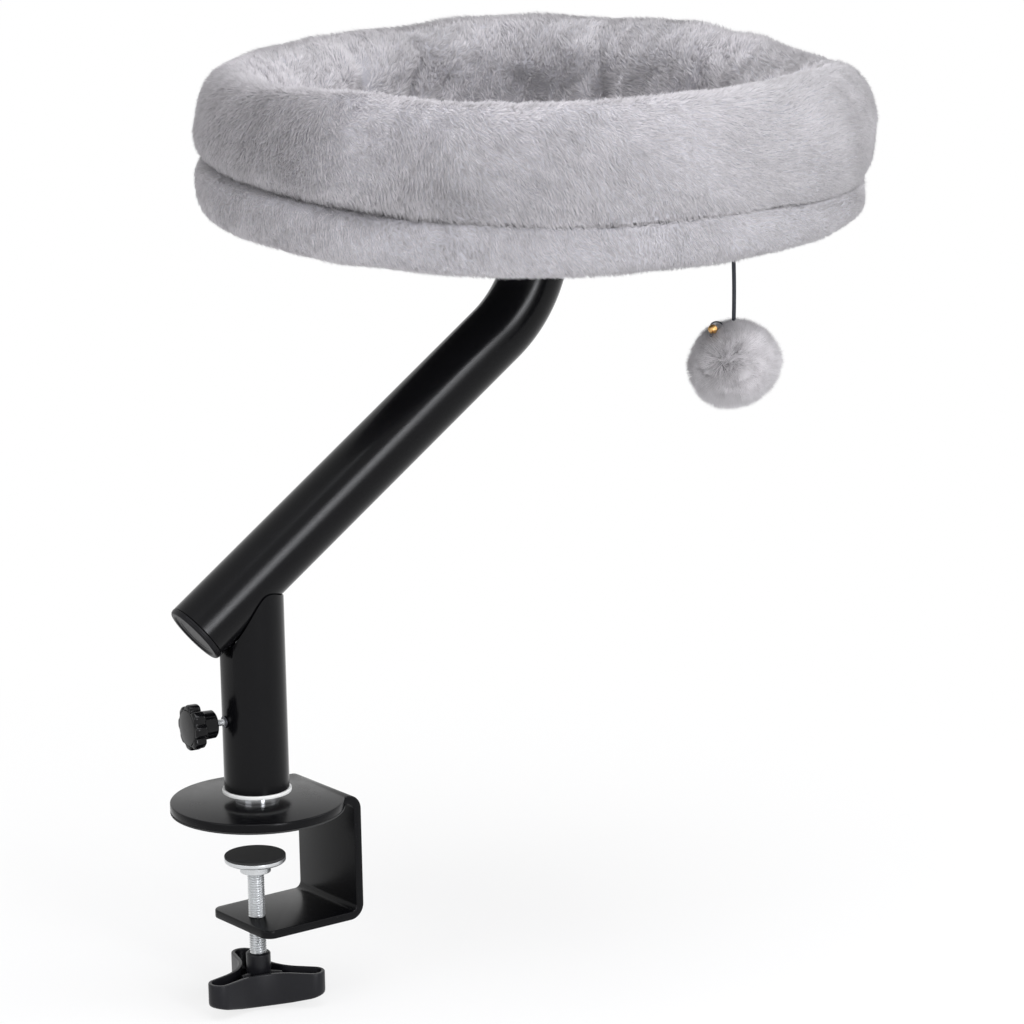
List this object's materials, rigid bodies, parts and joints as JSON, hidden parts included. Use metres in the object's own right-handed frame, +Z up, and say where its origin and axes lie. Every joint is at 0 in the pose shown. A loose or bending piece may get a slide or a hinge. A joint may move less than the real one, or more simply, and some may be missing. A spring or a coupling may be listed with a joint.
{
  "type": "cat desk bed",
  "caption": "Round plush cat bed on a bent tube arm that swings on a desk-edge screw clamp, with a hanging pompom toy.",
  "frame": {"origin": "on the swivel axis, on the underside of the clamp's seat pad, where it meets the desk top", "axes": "+Z up along the swivel axis, +X from the desk out past the edge, through the clamp's web, +Y along the desk's edge"},
  "size_m": [0.4388, 0.3913, 0.5448],
  "materials": {
    "black_steel": "satin black powder coat",
    "black_plastic": "fine-grained black",
    "grey_plastic": "fine-grained dark grey",
    "chrome": "polished",
    "zinc": "bright zinc plate",
    "dark_steel": "black oxide",
    "nylon": "natural white",
    "rubber": "matt black",
    "plywood": "sanded birch plywood",
    "felt": "dark grey felt",
    "plush": "light grey faux fur",
    "gold": "polished gold",
    "black_cord": "braided black elastic"
  },
  "bodies": {
    "clamp": {"bracket": "black_steel", "desk_pad": "rubber", "swivel_post": "chrome", "post_bolt": "dark_steel"},
    "pressure_pad": {"clamp_pad": "zinc", "clamp_facing": "rubber"},
    "clamp_drive": {"clamp_screw": "zinc", "star_knob": "black_plastic"},
    "arm": {"lower_bush": "nylon", "upper_bush": "nylon", "upright_tube": "black_steel", "arm_tube": "black_steel", "arm_plug": "grey_plastic", "lock_insert": "dark_steel", "top_flange": "black_steel", "flange_screw_1": "dark_steel", "flange_screw_2": "dark_steel", "flange_screw_3": "dark_steel", "flange_screw_4": "dark_steel", "tee_nut_1": "zinc", "tee_nut_2": "zinc", "tee_nut_3": "zinc", "tee_nut_4": "zinc", "bed_board": "plywood", "under_cover": "felt", "base_ring": "plush", "bolster": "plush", "seat_cushion": "plush", "toy_anchor": "black_plastic"},
    "lock_point": {"lock_tip": "nylon"},
    "lock_drive": {"lock_screw": "zinc", "lock_knob": "black_plastic"},
    "cord": {"toy_cord": "black_cord"},
    "toy": {"pompom": "plush", "bell": "gold", "bell_bead": "dark_steel", "bell_loop": "black_cord"}
  },
  "joints": [
    {"name": "arm_swivel", "type": "hinge", "parent": "clamp", "child": "arm", "pos_m": [0, 0, 0.011], "axis": [0, 0, 1], "continuous": true},
    {"name": "clamp_travel", "type": "slide", "parent": "clamp", "child": "pressure_pad", "axis": [0, 0, 1], "range_m": [-0.026, 0.015]},
    {"name": "clamp_turn", "type": "hinge", "parent": "pressure_pad", "child": "clamp_drive", "pos_m": [-0.003, 0, -0.06], "axis": [0, 0, 1], "range_deg": [-6245, 3605]},
    {"name": "lock_travel", "type": "slide", "parent": "arm", "child": "lock_point", "axis": [-0.9903, 0.1392, 0], "range_m": [0, 0.0021]},
    {"name": "lock_turn", "type": "hinge", "parent": "lock_point", "child": "lock_drive", "pos_m": [0, 0, 0.0555], "axis": [-0.9903, 0.1392, 0], "range_deg": [0, 1082]},
    {"name": "cord_swing", "type": "hinge", "parent": "arm", "child": "cord", "pos_m": [0.21521, -0.17896, 0.33072], "axis": [0.809, -0.5878, 0], "range_deg": [-60, 60]},
    {"name": "toy_swing", "type": "hinge", "parent": "cord", "child": "toy", "pos_m": [0.21521, -0.17896, 0.28902], "axis": [0.5878, 0.809, 0], "range_deg": [-45, 45]}
  ],
  "couplings": [
    {"joint": "clamp_turn", "follows": "clamp_travel", "rad_per_m": 4188.8},
    {"joint": "lock_turn", "follows": "lock_travel", "rad_per_m": 8976}
  ]
}
